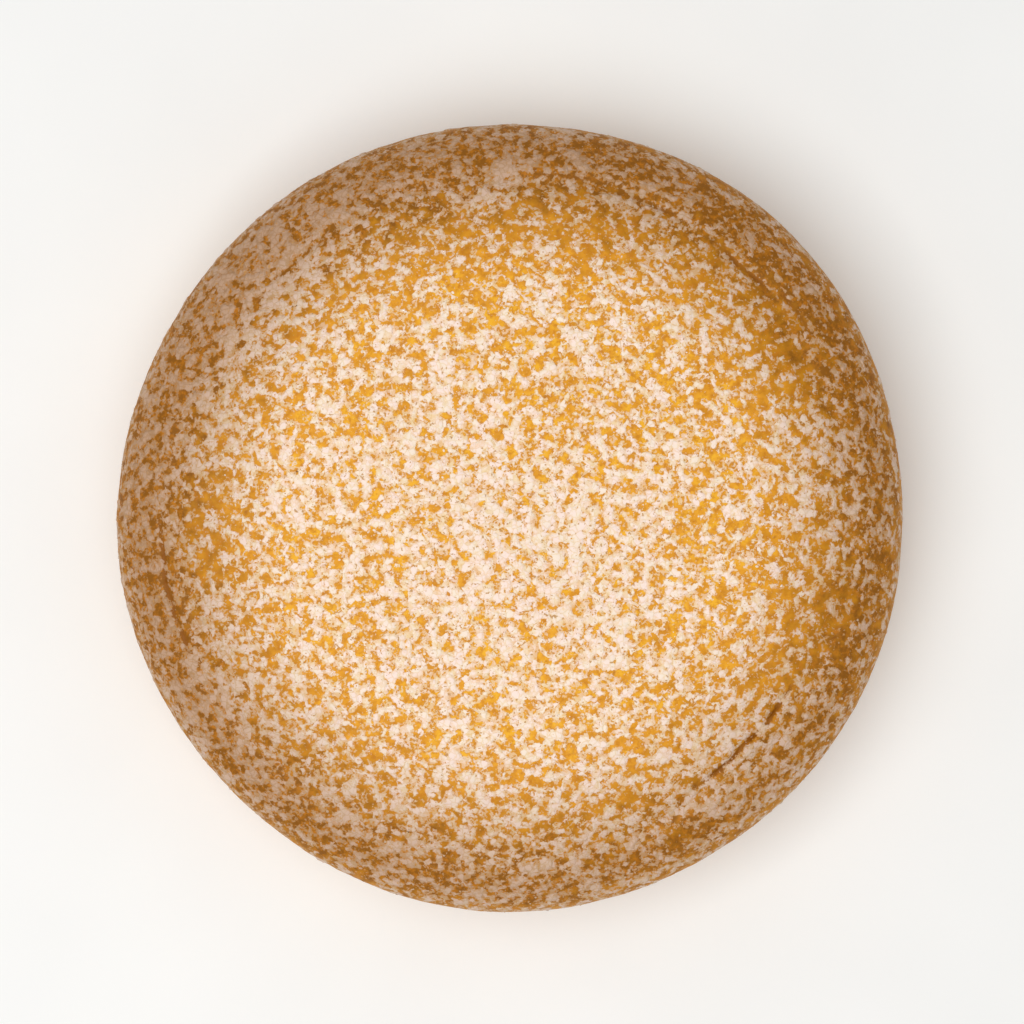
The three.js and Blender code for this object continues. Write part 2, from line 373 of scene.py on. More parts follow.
def crustDisc(name, cells):
    # A square grid pressed into a disc and laid over the crust, so that its faces keep one size.
    steps = np.linspace(-1, 1, cells + 1)
    a, b = (grid.ravel() for grid in np.meshgrid(steps, steps, indexing="ij"))
    reach = np.where(np.abs(a) >= np.abs(b), a, b)
    safe = np.where(reach == 0, 1, reach)
    turn = np.where(np.abs(a) >= np.abs(b), np.pi / 4 * b / safe, np.pi / 2 - np.pi / 4 * a / safe)
    angle = turn + np.pi * (reach < 0)
    out = np.abs(reach)
    # the way along the crust goes by its length, measured on a plain section
    ways = np.linspace(0, 2, 6001)
    section = crustPoint(ways, np.full_like(ways, 0.3))
    lengths = lengthAlong(*section)
    run = out * lengths[-1]
    radius, height = crustPoint(np.interp(run, lengths, ways), angle)
    top = np.stack([radius * np.cos(angle), radius * np.sin(angle), height], 1)
    # the underside: a ring of faces, then a fan to one point
    n = cells + 1
    line = np.arange(cells)
    rim = np.concatenate([line * n, cells * n + line, (cells - line) * n + cells, cells - line])
    shrunk = 1 - crust["underRim"] / np.hypot(*top[rim, :2].T)
    inner = top[rim] * np.stack([shrunk, shrunk, np.ones_like(shrunk)], 1)
    points = np.concatenate([top, inner, [[0, 0, upperBase]]])
    first = len(top) + np.arange(len(rim))
    nextRim, nextInner = np.roll(rim, -1), np.roll(first, -1)
    corner = (line[:, None] * n + line).ravel()
    quads = np.concatenate([
        np.stack([corner, corner + n, corner + n + 1, corner + 1], 1),
        np.stack([nextRim, rim, first, nextInner], 1)])
    fans = np.stack([nextInner, first, np.full_like(first, len(points) - 1)], 1)
    # places on the bake map: the crust as a disc, the underside small in one corner
    flat = np.stack([out * np.cos(angle), out * np.sin(angle)], 1) * 0.49 + 0.5
    tiny = points[:, :2] / cake["radius"] * 0.05 + 0.94
    maps = [flat[quads[:len(corner)]], tiny[quads[len(corner):]], tiny[fans]]
    count = len(points) - len(top)
    along = np.concatenate([run, np.full(count, run.max())])
    onTop = np.concatenate([np.ones(len(top)), np.zeros(count)])
    measures = crustMeasures(points, along, onTop)
    return newPiece(name, points, quads.tolist() + fans.tolist(), maps, measures)


def latheDisc(name, rings, measures):
    # rings: points as rows x columns, from the pole below outwards and up to the pole above.
    # The bake map holds the strip round the cake in a few bands, one above the other.
    bands = cake["bakeBands"]
    rows, columns = rings.shape[:2]
    low, high = rings[0].mean(0), rings[-1].mean(0)
    points = np.concatenate([rings.reshape(-1, 3), [low, high]])
    row, column = (g.ravel() for g in np.meshgrid(np.arange(rows - 1), np.arange(columns), indexing="ij"))
    after = (column + 1) % columns
    quads = np.stack([row * columns + column, row * columns + after,
                      (row + 1) * columns + after, (row + 1) * columns + column], 1)
    around = np.arange(columns)
    beyond = np.roll(around, -1)
    last = (rows - 1) * columns
    fans = np.concatenate([
        np.stack([np.full(columns, len(points) - 2), beyond, around], 1),
        np.stack([last + around, last + beyond, np.full(columns, len(points) - 1)], 1)])
    width = columns // bands
    left = (column % width) / width
    floor = (column // width + 0.04) / bands
    rise = 0.92 / bands / (rows - 1)
    quadMap = np.stack([np.stack([left + du / width, floor + (row + dv) * rise], 1)
                        for du, dv in ((0, 0), (1, 0), (1, 1), (0, 1))], 1)
    fanLeft = (around % width) / width
    fanFloor = (around // width) / bands
    fanMap = [np.stack([np.stack([fanLeft + du / width, fanFloor + v / bands], 1) for du, v in corners], 1)
              for corners in (((0.5, 0.0), (1, 0.03), (0, 0.03)), ((0, 0.97), (1, 0.97), (0.5, 1.0)))]
    ends = {label: np.append(values.ravel(), [values[0, 0], values[-1, 0]])
            for label, values in measures.items()}
    return newPiece(name, points, quads.tolist() + fans.tolist(), [quadMap, *fanMap], ends)


# Where the icing sugar lies: above 0 it covers the crust. The geometry and the material share these
# nodes, so that relief and colour fall together. Sizes are in millimetres.
sugarPattern = {
    "patchSize": 2.3,  # across the broadest patches
    "patchRoughness": 0.5,  # how ragged their edges are
    "patchWander": 0.5,
    "driftSize": 9.0,  # across the drifts that the patches gather in
    "driftShare": 0.12,
    "coverGain": 0.29,  # turns a share of the crust into a level of the noise
}


def dustField(tree, place, cover, detail):
    # detail: how many finer layers the patches' noise has, more in a colour than in the mesh
    pattern = sugarPattern
    patches = addNode(tree, "ShaderNodeTexNoise", {
        "Vector": place, "Scale": 1 / pattern["patchSize"], "Detail": detail,
        "Roughness": pattern["patchRoughness"], "Distortion": pattern["patchWander"]})
    drifts = addNode(tree, "ShaderNodeTexNoise", {
        "Vector": place, "Scale": 1 / pattern["driftSize"], "Detail": 1.0})
    drift = addNode(tree, "ShaderNodeMath", {
        0: drifts, 1: pattern["driftShare"], 2: -0.5 * pattern["driftShare"]}, operation="MULTIPLY_ADD")
    level = addNode(tree, "ShaderNodeMath", {
        0: cover, 1: pattern["coverGain"], 2: -0.5 * pattern["coverGain"] - 0.5}, operation="MULTIPLY_ADD")
    both = addNode(tree, "ShaderNodeMath", {0: drift, 1: level}, operation="ADD")
    return addNode(tree, "ShaderNodeMath", {0: patches, 1: both}, operation="ADD")


def offsetAlong(tree, geometry, normal, height):
    # moves points along their normals by a height in millimetres
    length = addNode(tree, "ShaderNodeMath", {0: height, 1: mm}, operation="MULTIPLY")
    move = addNode(tree, "ShaderNodeVectorMath", {0: normal, "Scale": length}, operation="SCALE")
    return addNode(tree, "GeometryNodeSetPosition", {"Geometry": geometry, "Offset": move})


def growSkin(name, material):
    # The small relief of a soft surface: broad swells, fine wrinkles and round pores.
    tree, given = newTree(name, {
        "Swell Size": 5.0, "Swell Height": 0.2, "Wrinkle Size": 1.3, "Wrinkle Height": 0.1,
        "Pore Spacing": 2.6, "Pore Radius": 0.5, "Pore Depth": 0.3})
    here = addNode(tree, "GeometryNodeInputPosition")
    place = addNode(tree, "ShaderNodeVectorMath", {0: here, "Scale": 1 / mm}, operation="SCALE")
    height = 0.0
    for kind in ("Swell", "Wrinkle"):
        fineness = addNode(tree, "ShaderNodeMath", {0: 1.0, 1: given[kind + " Size"]}, operation="DIVIDE")
        noise = addNode(tree, "ShaderNodeTexNoise", {"Vector": place, "Scale": fineness, "Detail": 2.0})
        wave = addNode(tree, "ShaderNodeMath", {0: noise, 1: 2.0, 2: -1.0}, operation="MULTIPLY_ADD")
        height = addNode(tree, "ShaderNodeMath", {0: wave, 1: given[kind + " Height"], 2: height},
                         operation="MULTIPLY_ADD")
    fineness = addNode(tree, "ShaderNodeMath", {0: 1.0, 1: given["Pore Spacing"]}, operation="DIVIDE")
    cells = addNode(tree, "ShaderNodeTexVoronoi", {"Vector": place, "Scale": fineness})
    away = addNode(tree, "ShaderNodeMath", {0: cells, 1: given["Pore Spacing"]}, operation="MULTIPLY")
    chance = addNode(tree, "ShaderNodeSeparateXYZ", {0: cells.node.outputs["Color"]})
    radius = addNode(tree, "ShaderNodeMath", {0: chance, 1: given["Pore Radius"]}, operation="MULTIPLY")
    floor = addNode(tree, "ShaderNodeMath", {0: radius, 1: 0.4}, operation="MULTIPLY")
    pore = addNode(tree, "ShaderNodeMapRange", {
        "Value": away, "From Min": radius, "From Max": floor}, interpolation_type="SMOOTHSTEP")
    dip = addNode(tree, "ShaderNodeMath", {0: pore, 1: given["Pore Depth"]}, operation="MULTIPLY")
    height = addNode(tree, "ShaderNodeMath", {0: height, 1: dip}, operation="SUBTRACT")
    relief = addNode(tree, "GeometryNodeInputNamedAttribute", {"Name": "relief"}, data_type="FLOAT")
    height = addNode(tree, "ShaderNodeMath", {0: height, 1: relief}, operation="MULTIPLY")
    marked = addNode(tree, "GeometryNodeStoreNamedAttribute", {
        "Geometry": given["Geometry"], "Name": "pore", "Value": pore}, data_type="FLOAT", domain="POINT")
    moved = offsetAlong(tree, marked, addNode(tree, "GeometryNodeInputNormal"), height)
    endTree(tree, moved, material)
    return tree


def growSugar(material):
    # Keeps the parts of the crust where sugar lies and thickens each into a closed, thin lump.
    tree, given = newTree("icingSugarPatches", {
        "Margin": 0.02, "Full Depth": 0.14, "Thin": 0.08, "Thick": 0.42, "Lump Size": 0.7,
        "Lump Height": 0.1, "Sunk": 0.14, "Edge Sunk": 0.03})
    place = addNode(tree, "GeometryNodeInputNamedAttribute", {"Name": "dustPlace"},
                    data_type="FLOAT_VECTOR")
    cover = addNode(tree, "GeometryNodeInputNamedAttribute", {"Name": "dustCover"}, data_type="FLOAT")
    depth = addNode(tree, "ShaderNodeMath", {0: dustField(tree, place, cover, 3.0), 1: given["Margin"]},
                    operation="SUBTRACT")
    marked = addNode(tree, "GeometryNodeStoreNamedAttribute", {
        "Geometry": given["Geometry"], "Name": "sugarDepth", "Value": depth},
        data_type="FLOAT", domain="POINT")
    depth = addNode(tree, "GeometryNodeInputNamedAttribute", {"Name": "sugarDepth"}, data_type="FLOAT")
    bare = addNode(tree, "FunctionNodeCompare", {0: depth, 1: 0.0}, data_type="FLOAT",
                   operation="LESS_THAN")
    bare = addNode(tree, "GeometryNodeFieldOnDomain", {0: bare}, data_type="BOOLEAN", domain="POINT")
    patches = addNode(tree, "GeometryNodeDeleteGeometry", {"Geometry": marked, "Selection": bare},
                      domain="FACE")
    count = addNode(tree, "GeometryNodeInputMeshEdgeNeighbors")
    edge = addNode(tree, "FunctionNodeCompare", {2: count, 3: 1}, data_type="INT", operation="EQUAL")
    edge = addNode(tree, "GeometryNodeFieldOnDomain", {0: edge}, data_type="BOOLEAN", domain="EDGE")
    here = addNode(tree, "GeometryNodeInputPosition")
    softened = addNode(tree, "GeometryNodeBlurAttribute", {0: here, "Iterations": 2, "Weight": 0.8},
                       data_type="FLOAT_VECTOR")
    rounded = addNode(tree, "GeometryNodeSetPosition", {
        "Geometry": patches, "Selection": edge, "Position": softened})
    # the upper face
    place = addNode(tree, "ShaderNodeVectorMath", {0: here, "Scale": 1 / mm}, operation="SCALE")
    fineness = addNode(tree, "ShaderNodeMath", {0: 1.0, 1: given["Lump Size"]}, operation="DIVIDE")
    lumps = addNode(tree, "ShaderNodeTexNoise", {"Vector": place, "Scale": fineness, "Detail": 1.0})
    thickness = addNode(tree, "ShaderNodeMapRange", {
        "Value": depth, "From Max": given["Full Depth"], "To Min": given["Thin"],
        "To Max": given["Thick"]}, interpolation_type="SMOOTHSTEP")
    thickness = addNode(tree, "ShaderNodeMath", {0: lumps, 1: given["Lump Height"], 2: thickness},
                        operation="MULTIPLY_ADD")
    edgeLevel = addNode(tree, "ShaderNodeMath", {0: given["Edge Sunk"], 1: -1.0}, operation="MULTIPLY")
    over = addNode(tree, "GeometryNodeSwitch", {0: edge, 1: thickness, 2: edgeLevel}, input_type="FLOAT")
    normal = addNode(tree, "GeometryNodeInputNormal")
    top = offsetAlong(tree, rounded, normal, over)
    # the lower face, which shares the patch's edge and lies just inside the crust
    under = addNode(tree, "ShaderNodeMath", {0: given["Sunk"], 1: -1.0}, operation="MULTIPLY")
    under = addNode(tree, "GeometryNodeSwitch", {0: edge, 1: under, 2: edgeLevel}, input_type="FLOAT")
    bottom = offsetAlong(tree, rounded, normal, under)
    bottom = addNode(tree, "GeometryNodeFlipFaces", {"Mesh": bottom})
    spot = addNode(tree, "GeometryNodeInputNamedAttribute", {"Name": bakeMap}, data_type="FLOAT_VECTOR")
    spot = addNode(tree, "ShaderNodeVectorMath", {0: spot, 1: (0.1, 0.1, 0.0), 2: (0.89, 0.89, 0.0)},
                   operation="MULTIPLY_ADD")
    bottom = addNode(tree, "GeometryNodeStoreNamedAttribute", {
        "Geometry": bottom, "Name": bakeMap, "Value": spot}, data_type="FLOAT2", domain="CORNER")
    joined = addNode(tree, "GeometryNodeJoinGeometry", {0: bottom})
    tree.links.new(top, joined.node.inputs[0])
    closed = addNode(tree, "GeometryNodeMergeByDistance", {"Geometry": joined, "Distance": 0.002 * mm})
    endTree(tree, closed, material)
    return tree


def strew(name, material, measure):
    # Small lumps strewn over a surface, as often as one of its measures says.
    tree, given = newTree(name, {
        "Per Square Centimetre": 1.0, "Smallest": 0.3, "Largest": 1.0, "Length": 1.2, "Height": 0.7,
        "Sunk": 0.2, "Lumpiness": 0.2, "Seed": 3})
    often = addNode(tree, "GeometryNodeInputNamedAttribute", {"Name": measure}, data_type="FLOAT")
    often = addNode(tree, "ShaderNodeMath", {0: given["Per Square Centimetre"], 1: often},
                    operation="MULTIPLY")
    often = addNode(tree, "ShaderNodeMath", {0: often, 1: 1e4}, operation="MULTIPLY")
    points = addNode(tree, "GeometryNodeDistributePointsOnFaces", {
        "Mesh": given["Geometry"], "Density": often, "Seed": given["Seed"]})
    chance = addNode(tree, "FunctionNodeRandomValue", {"Seed": given["Seed"]}, out=1, data_type="FLOAT")
    rare = addNode(tree, "ShaderNodeMath", {0: chance, 1: 2.5}, operation="POWER")  # few are large
    size = addNode(tree, "ShaderNodeMapRange", {
        "Value": rare, "To Min": given["Smallest"], "To Max": given["Largest"]})
    sunk = addNode(tree, "ShaderNodeMath", {0: size, 1: given["Sunk"]}, operation="MULTIPLY")
    sunk = addNode(tree, "ShaderNodeMath", {0: sunk, 1: -1.0}, operation="MULTIPLY")
    placed = offsetAlong(tree, points, points.node.outputs["Normal"], sunk)
    # a little tilt and any turn, in radians
    spin = addNode(tree, "FunctionNodeRandomValue", {
        0: (0.0, 0.0, 0.0), 1: (0.5, 0.5, 6.28), "Seed": given["Seed"]}, data_type="FLOAT_VECTOR")
    spin = addNode(tree, "FunctionNodeEulerToRotation", {0: spin})
    facing = addNode(tree, "FunctionNodeRotateRotation", {
        "Rotation": points.node.outputs["Rotation"], "Rotate By": spin}, rotation_space="LOCAL")
    lump = addNode(tree, "GeometryNodeMeshUVSphere", {"Radius": 0.5 * mm, "Segments": 8, "Rings": 5})
    shape = addNode(tree, "ShaderNodeCombineXYZ", {0: given["Length"], 1: 1.0, 2: given["Height"]})
    shape = addNode(tree, "ShaderNodeVectorMath", {0: shape, "Scale": size}, operation="SCALE")
    strewn = addNode(tree, "GeometryNodeInstanceOnPoints", {
        "Points": placed, "Instance": lump, "Rotation": facing, "Scale": shape})
    whole = addNode(tree, "GeometryNodeRealizeInstances", {"Geometry": strewn})
    here = addNode(tree, "GeometryNodeInputPosition")
    noise = addNode(tree, "ShaderNodeTexNoise", {"Vector": here, "Scale": 1.6 / mm, "Detail": 1.0})
    bulge = addNode(tree, "ShaderNodeMath", {0: noise, 1: 0.5}, operation="SUBTRACT")
    bulge = addNode(tree, "ShaderNodeMath", {0: bulge, 1: given["Lumpiness"]}, operation="MULTIPLY")
    lumpy = offsetAlong(tree, whole, addNode(tree, "GeometryNodeInputNormal"), bulge)
    endTree(tree, lumpy, material)
    return tree


def strewOver(carrier, name, slot, measure, material, values):
    # A piece made of what is strewn over another one.
    bits = bpy.data.objects.new(name, carrier.data)
    return settle(applyTrees(bits, (strew(name, material, measure), values)), slot)


# Baked sponge skin, in millimetres.
bakedLook = {
    "toneSize": 2.5,  # across its browner and its paler places
    "fleckSize": 1.1,
    "fleckTone": "#C0740E",
    "poreShade": 0.6,
}


def bakedColour(tree, place, tones):
    # Deeper as it browns, and at the crust's rim with painted shade too; with darker flecks, partly baked
    # darker and partly painted shade of small pits; and pores darkened with painted shade.
    brownedAndShaded, pore = (
        addNode(tree, "ShaderNodeAttribute", out="Fac", attribute_name=measure)
        for measure in ("brownedAndShaded", "pore"))
    tone = addNode(tree, "ShaderNodeTexNoise", {
        "Vector": place, "Scale": 1 / bakedLook["toneSize"], "Detail": 3.0})
    tone = addNode(tree, "ShaderNodeMath", {0: tone, 1: 1.2, 2: -0.45}, operation="MULTIPLY_ADD")
    depth = addNode(tree, "ShaderNodeMath", {0: brownedAndShaded, 1: tone}, operation="ADD")
    gold = addNode(tree, "ShaderNodeValToRGB", {0: depth}, stops=tones["browning"])
    flecks = addNode(tree, "ShaderNodeTexNoise", {
        "Vector": place, "Scale": 1 / bakedLook["fleckSize"], "Detail": 3.0, "Roughness": 0.65})
    # darker flecks: partly crust baked darker, partly painted shade of small pits and gaps
    toastedAndShaded = addNode(tree, "ShaderNodeMapRange", {
        "Value": flecks, "From Min": 0.47, "From Max": 0.68, "To Max": 0.75})
    # pores darkened: painted shade in their hollows
    dark = addNode(tree, "ShaderNodeMath", {0: pore, 1: bakedLook["poreShade"]}, operation="MULTIPLY")
    for share, tone in ((toastedAndShaded, bakedLook["fleckTone"]), (dark, tones["pore"])):
        gold = addNode(tree, "ShaderNodeMix", {0: share, 6: gold, 7: tone}, out=2, data_type="RGBA")
    return gold


# The finish of the dusted crust. Each noise: its size in millimetres, its detail and its roughness.
dustNoises = {
    "grains": (0.8, 2.0, 0.6),  # loose sugar that frays the edges of the patches
    "powder": (0.6, 2.0, 0.5),
    "pits": (0.7, 1.0, 0.5),
    "tint": (1.7, 1.0, 0.5),
    "crumb": (0.6, 4.0, 0.65),
}
dustLook = {
    "grainShare": 0.25,  # how far loose grains lift or lower the level of the sugar
    "flakeShare": 0.21,
    "flakeSize": 1.25,  # across the crumbs that the sugar has clotted into
    "flakeGap": 0.13,  # how far the cracks between them reach in, as a share of their size
    "flakeWaver": 0.7,  # how ragged they are, as a share of their size
    "waverSize": 0.8,
    "creaseFray": 1.4,
    "creaseLoss": 0.16,  # how much less sugar has stayed in a crease
    "veilReach": 0.17,  # how far below a patch's level powder still lies
    "veilPowder": 0.28,
    "veilHaze": 0.06,
    "tintContrast": 2.6,
    "tintByFlake": 0.8,
    "depthGain": 7.0,  # how soon sugar turns from thin to thick past a patch's edge
    "depthByFlake": 1.4,
    "bumpHeight": 0.1,
}
dustTones = {
    # the crust's browning: its darker end, reached at the rim, is partly painted shade
    "browning": ((0.0, "#F2B126"), (0.2, "#E49B20"), (0.6, "#C07E0E"), (1.0, "#8A5406")),
    "pore": "#8A4A14",
    "openCrumb": "#EDBC74",
    "shade": "#C27A14",
    "crease": "#8C520E",
    "thin": ("#F1CCA6", "#F0D2A2", "#AA825C"),  # pinkish, yellowish, and at the rim, where painted shade darkens it and thin sugar shows the browner crust
    "thick": ("#FAE3D7", "#F8E6D2", "#BC987C"),
    "pit": "#BE8C50",
}


def sugarFlakes(tree, place, dustPlace):
    # Ragged crumbs of clotted sugar. Returns three chances that each flake has, and the gaps round it.
    waver = addNode(tree, "ShaderNodeTexNoise", {
        "Vector": place, "Scale": 1 / dustLook["waverSize"], "Detail": 1.0}, out=1)
    waver = addNode(tree, "ShaderNodeVectorMath", {0: waver, 1: (0.5, 0.5, 0.5)}, operation="SUBTRACT")
    waver = addNode(tree, "ShaderNodeVectorMath", {
        0: waver, "Scale": dustLook["flakeWaver"] * dustLook["flakeSize"]}, operation="SCALE")
    ragged = addNode(tree, "ShaderNodeVectorMath", {0: dustPlace, 1: waver}, operation="ADD")
    flakes, gaps = (
        addNode(tree, "ShaderNodeTexVoronoi", {"Vector": ragged, "Scale": 1 / dustLook["flakeSize"]},
                feature=feature) for feature in ("F1", "DISTANCE_TO_EDGE"))
    chances = addNode(tree, "ShaderNodeSeparateXYZ", {0: flakes.node.outputs["Color"]})
    # the cracks are drawn later in the peach of thin sugar: partly thin sugar over the gold, partly
    # painted shade between the crumbs
    gaps = addNode(tree, "ShaderNodeMapRange", {
        "Value": gaps, "From Min": dustLook["flakeGap"], "From Max": 0.0, "To Max": 0.7})
    return chances.node.outputs, gaps


def creaseLine(tree, grains):
    # The bottom of a crease, as loose grains fray it: little sugar has stayed there.
    creased, away = (
        addNode(tree, "ShaderNodeAttribute", out="Fac", attribute_name=measure)
        for measure in ("creased", "creaseAway"))
    creased = addNode(tree, "ShaderNodeMath", {0: creased, 1: 1.8}, operation="MULTIPLY", use_clamp=True)
    frayed = addNode(tree, "ShaderNodeMath", {
        0: grains, 1: dustLook["creaseFray"], 2: -0.5 * dustLook["creaseFray"]},
        operation="MULTIPLY_ADD")
    away = addNode(tree, "ShaderNodeMath", {0: away, 1: frayed}, operation="ADD")
    away = addNode(tree, "ShaderNodeMath", {0: away}, operation="ABSOLUTE")
    line = addNode(tree, "ShaderNodeMapRange", {
        "Value": away, "From Min": 0.7, "From Max": 0.2, "To Max": 0.9}, interpolation_type="SMOOTHSTEP")
    return addNode(tree, "ShaderNodeMath", {0: line, 1: creased}, operation="MULTIPLY")


def sugarShown(tree, field, powder):
    # How much sugar shows: a powder that thickens towards the patches, then the patches.
    veil = addNode(tree, "ShaderNodeMapRange", {
        "Value": field, "From Min": -dustLook["veilReach"], "From Max": 0.0})
    powder = addNode(tree, "ShaderNodeMath", {0: veil, 1: dustLook["veilPowder"], 2: powder},
                     operation="MULTIPLY_ADD")
    powder = addNode(tree, "ShaderNodeMapRange", {
        "Value": powder, "From Min": 0.64, "From Max": 0.73, "To Max": 0.7},
        interpolation_type="SMOOTHSTEP")
    powder = addNode(tree, "ShaderNodeMath", {0: veil, 1: dustLook["veilHaze"], 2: powder},
                     operation="MULTIPLY_ADD")
    patches = addNode(tree, "ShaderNodeMapRange", {
        "Value": field, "From Min": -0.012, "From Max": 0.02}, interpolation_type="SMOOTHSTEP")
    return addNode(tree, "ShaderNodeMath", {0: powder, 1: patches}, operation="MAXIMUM")


def crustColour(tree, place, field, line, openSide, crumb):
    # Golden, paler on the open side, more orange where sugar stands round a small bare place, which is
    # painted shade, and darker along the bottom of a crease.
    pale = addNode(tree, "ShaderNodeMapRange", {
        "Value": crumb, "From Min": 0.42, "From Max": 0.62, "To Min": 0.15, "To Max": 0.85})
    pale = addNode(tree, "ShaderNodeMath", {0: pale, 1: openSide}, operation="MULTIPLY")
    shaded = addNode(tree, "ShaderNodeMapRange", {
        "Value": field, "From Min": -0.1, "From Max": -0.02, "To Max": 0.7})
    gold = bakedColour(tree, place, dustTones)
    for share, tone in ((pale, "openCrumb"), (shaded, "shade"), (line, "crease")):
        gold = addNode(tree, "ShaderNodeMix", {0: share, 6: gold, 7: dustTones[tone]}, out=2,
                       data_type="RGBA")
    return gold


def sugarColour(tree, depth, gaps, chance, tint, pits):
    # Peach where it is thin, white where thick, faintly pink or yellow from crumb to crumb, and darker
    # towards the rim: painted shade, with the browner crust showing through thin sugar there.
    brownedAndShaded = addNode(tree, "ShaderNodeAttribute", out="Fac", attribute_name="brownedAndShaded")
    tint = addNode(tree, "ShaderNodeMath", {0: tint, 1: dustLook["tintContrast"], 2: -1.25},
                   operation="MULTIPLY_ADD")
    tint = addNode(tree, "ShaderNodeMath", {0: chance, 1: dustLook["tintByFlake"], 2: tint},
                   operation="MULTIPLY_ADD", use_clamp=True)
    sugars = []
    for pinkish, yellowish, rimShaded in (dustTones["thin"], dustTones["thick"]):
        sugar = addNode(tree, "ShaderNodeMix", {0: tint, 6: pinkish, 7: yellowish}, out=2,
                        data_type="RGBA")
        # darkened towards the rim: painted shade
        sugars.append(addNode(tree, "ShaderNodeMix", {0: brownedAndShaded, 6: sugar, 7: rimShaded}, out=2,
                              data_type="RGBA"))
    thin, thick = sugars
    pits = addNode(tree, "ShaderNodeMapRange", {
        "Value": pits, "From Min": 0.36, "From Max": 0.28, "To Max": 0.85})
    white = thin
    for share, sugar in ((depth, thick), (gaps, thin), (pits, dustTones["pit"])):
        white = addNode(tree, "ShaderNodeMix", {0: share, 6: white, 7: sugar}, out=2, data_type="RGBA")
    return white


def finishDusted(name, lift):
    # Golden crust under a dusting of icing sugar: matt all over, the bare crust with a faint sheen.
    # Thick sugar is a warm white, and where it lies thin the gold glows through it as peach.
    material, tree, place = newMaterial(name)
    dustPlace = addNode(tree, "ShaderNodeAttribute", out="Vector", attribute_name="dustPlace")
    cover, openSide = (
        addNode(tree, "ShaderNodeAttribute", out="Fac", attribute_name=measure)
        for measure in ("dustCover", "openCrumb"))
    noises = {
        label: addNode(tree, "ShaderNodeTexNoise", {
            "Vector": place, "Scale": 1 / size, "Detail": detail, "Roughness": roughness})
        for label, (size, detail, roughness) in dustNoises.items()}
    chances, gaps = sugarFlakes(tree, place, dustPlace)
    line = creaseLine(tree, noises["grains"])
    # the level of the sugar, above 0 where it covers the crust
    loose = addNode(tree, "ShaderNodeMath", {
        0: noises["grains"], 1: dustLook["grainShare"], 2: lift - 0.5 * dustLook["grainShare"]},
        operation="MULTIPLY_ADD")
    thicker = addNode(tree, "ShaderNodeMath", {
        0: chances["X"], 1: dustLook["flakeShare"], 2: -0.5 * dustLook["flakeShare"]},
        operation="MULTIPLY_ADD")
    field = dustField(tree, dustPlace, cover, 5.0)
    for more in (loose, thicker):
        field = addNode(tree, "ShaderNodeMath", {0: field, 1: more}, operation="ADD")
    field = addNode(tree, "ShaderNodeMath", {0: line, 1: -dustLook["creaseLoss"], 2: field},
                    operation="MULTIPLY_ADD")
    depth = addNode(tree, "ShaderNodeMath", {
        0: chances["Z"], 1: dustLook["depthByFlake"], 2: -0.25 * dustLook["depthByFlake"]},
        operation="MULTIPLY_ADD")
    depth = addNode(tree, "ShaderNodeMath", {0: field, 1: dustLook["depthGain"], 2: depth},
                    operation="MULTIPLY_ADD", use_clamp=True)
    shown = sugarShown(tree, field, noises["powder"])
    gold = crustColour(tree, place, field, line, openSide, noises["crumb"])
    white = sugarColour(tree, depth, gaps, chances["Y"], noises["tint"], noises["pits"])
    colour = addNode(tree, "ShaderNodeMix", {0: shown, 6: gold, 7: white}, out=2, data_type="RGBA")
    rough = addNode(tree, "ShaderNodeMapRange", {"Value": shown, "To Min": 0.6, "To Max": 0.95})
    height = addNode(tree, "ShaderNodeMath", {0: gaps, 1: -1.0, 2: depth}, operation="MULTIPLY_ADD")
    height = addNode(tree, "ShaderNodeMath", {0: height, 1: shown}, operation="MULTIPLY")
    crumbled = addNode(tree, "ShaderNodeMath", {0: openSide, 1: 4.0}, operation="MULTIPLY")
    height = addNode(tree, "ShaderNodeMath", {0: noises["crumb"], 1: crumbled, 2: height},
                     operation="MULTIPLY_ADD")
    bump = addNode(tree, "ShaderNodeBump", {
        "Strength": 0.5, "Distance": dustLook["bumpHeight"] * mm, "Height": height})
    return endMaterial(material, {
        "Base Color": colour, "Roughness": rough, "Normal": bump, "IOR": 1.45,
        "Specular IOR Level": 0.25})


sideLook = {
    "browning": ((0.0, "#EDBA6C"), (0.25, "#DFA251"), (0.6, "#BE7932"), (1.0, "#87501F")),
    "pore": "#9A5C22",
    "openCrumb": "#F4D49C",
    "crumbSize": 0.55,
    "crumbHeight": 0.25,
}


def finishSpongeSide():
    # The tin side of a sponge: matt, honey gold, with open crumb, browned along its edges.
    material, tree, place = newMaterial("bakedSpongeSide")
    gold = bakedColour(tree, place, sideLook)
    crumb = addNode(tree, "ShaderNodeTexNoise", {
        "Vector": place, "Scale": 1 / sideLook["crumbSize"], "Detail": 4.0, "Roughness": 0.65})
    pale = addNode(tree, "ShaderNodeMapRange", {
        "Value": crumb, "From Min": 0.5, "From Max": 0.7, "To Max": 0.55})
    colour = addNode(tree, "ShaderNodeMix", {0: pale, 6: gold, 7: sideLook["openCrumb"]}, out=2,
                     data_type="RGBA")
    bump = addNode(tree, "ShaderNodeBump", {
        "Strength": 0.7, "Distance": sideLook["crumbHeight"] * mm, "Height": crumb})
    return endMaterial(material, {
        "Base Color": colour, "Roughness": 0.8, "Normal": bump, "IOR": 1.45,
        "Specular IOR Level": 0.2})


jamLook = {
    "pulpSize": 2.2,
    "pulpHeight": 0.3,
    "reds": ((0.3, "#560308"), (0.5, "#8C070E"), (0.7, "#BA171A")),
}


